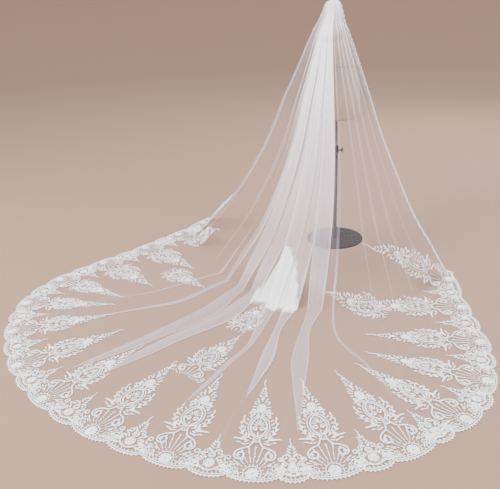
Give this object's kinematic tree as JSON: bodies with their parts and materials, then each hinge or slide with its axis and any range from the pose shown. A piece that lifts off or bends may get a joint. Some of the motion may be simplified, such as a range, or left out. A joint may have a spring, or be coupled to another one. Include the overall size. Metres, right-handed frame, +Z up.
{
  "type": "bridal veil on dress form",
  "caption": "Long tulle bridal veil with a lace border, draped from the neck of a limbless dress form on its stand, its train spread in a fan on the floor.",
  "frame": {"origin": "middle of the base plate's underside, on the floor under the pole", "axes": "+Z up along the pole; the train runs towards -Y; the veil's open front faces +Y"},
  "size_m": [2.6948, 2.5673, 1.6126],
  "materials": {
    "tulle": "fine soft net, white with a slight cool cast",
    "lace": "matte white corded lace",
    "form_cloth": "plain tan jersey",
    "black_metal": "satin black paint",
    "grey_steel": "satin"
  },
  "bodies": {
    "root": {"tulle_right": "tulle", "tulle_left": "tulle", "tulle_train": "tulle", "lace_border": "lace", "edge_trim_right": "lace", "edge_trim_left": "lace", "loose_motif_1": "lace", "loose_motif_2": "lace", "loose_motif_3": "lace", "torso": "form_cloth", "neck_cap": "form_cloth", "upper_rod": "grey_steel", "collar": "black_metal", "lower_pole": "black_metal", "base_plate": "black_metal"},
    "screw": {"clamp_screw": "black_metal"}
  },
  "joints": [
    {"name": "screw_turn", "type": "hinge", "parent": "root", "child": "screw", "pos_m": [0.02338, 0.0135, 0.655], "axis": [0.866, 0.5, 0], "range_deg": [0, 270]}
  ]
}
